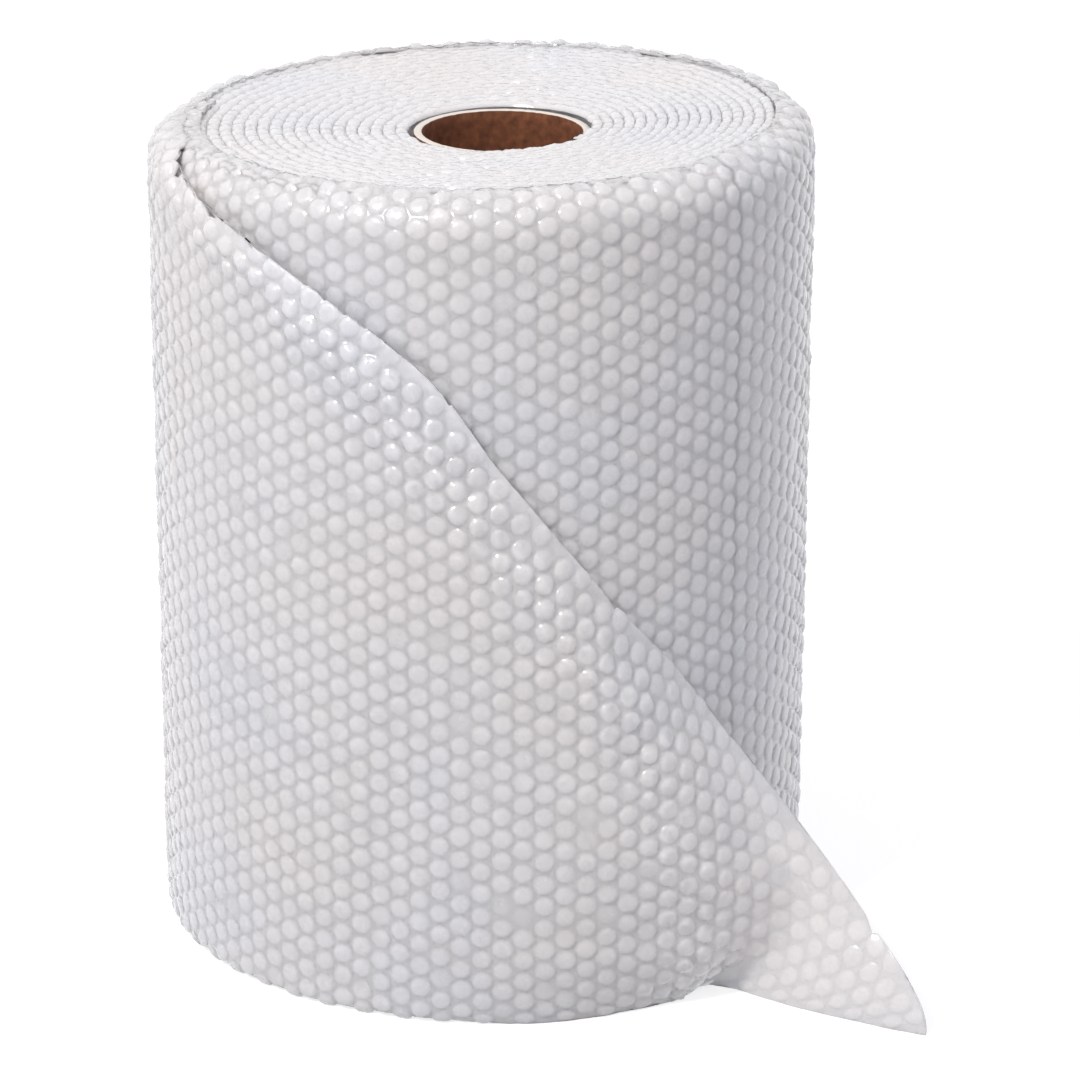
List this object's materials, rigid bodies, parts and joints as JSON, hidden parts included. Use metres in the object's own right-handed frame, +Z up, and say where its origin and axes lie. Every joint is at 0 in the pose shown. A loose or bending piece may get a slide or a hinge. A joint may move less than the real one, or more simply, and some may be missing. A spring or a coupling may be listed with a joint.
{
  "type": "bubble wrap roll",
  "caption": "Roll of clear bubble wrap standing on its end, wound on a kraft cardboard core, with its outer end cut on a diagonal and standing loose",
  "frame": {"origin": "on the core's axis, in the plane that the roll stands on", "axes": "+Z up along the core's axis; -Y faces the front, and the loose end's tip points to +X -Y"},
  "size_m": [0.3695, 0.3276, 0.4033],
  "materials": {
    "bubble_film": "glossy translucent polyethylene film with air bubbles",
    "kraft_board": "matte spiral-wound kraft board"
  },
  "bodies": {
    "root": {"bubble_wrap_web": "bubble_film", "core_tube": "kraft_board"}
  },
  "joints": []
}
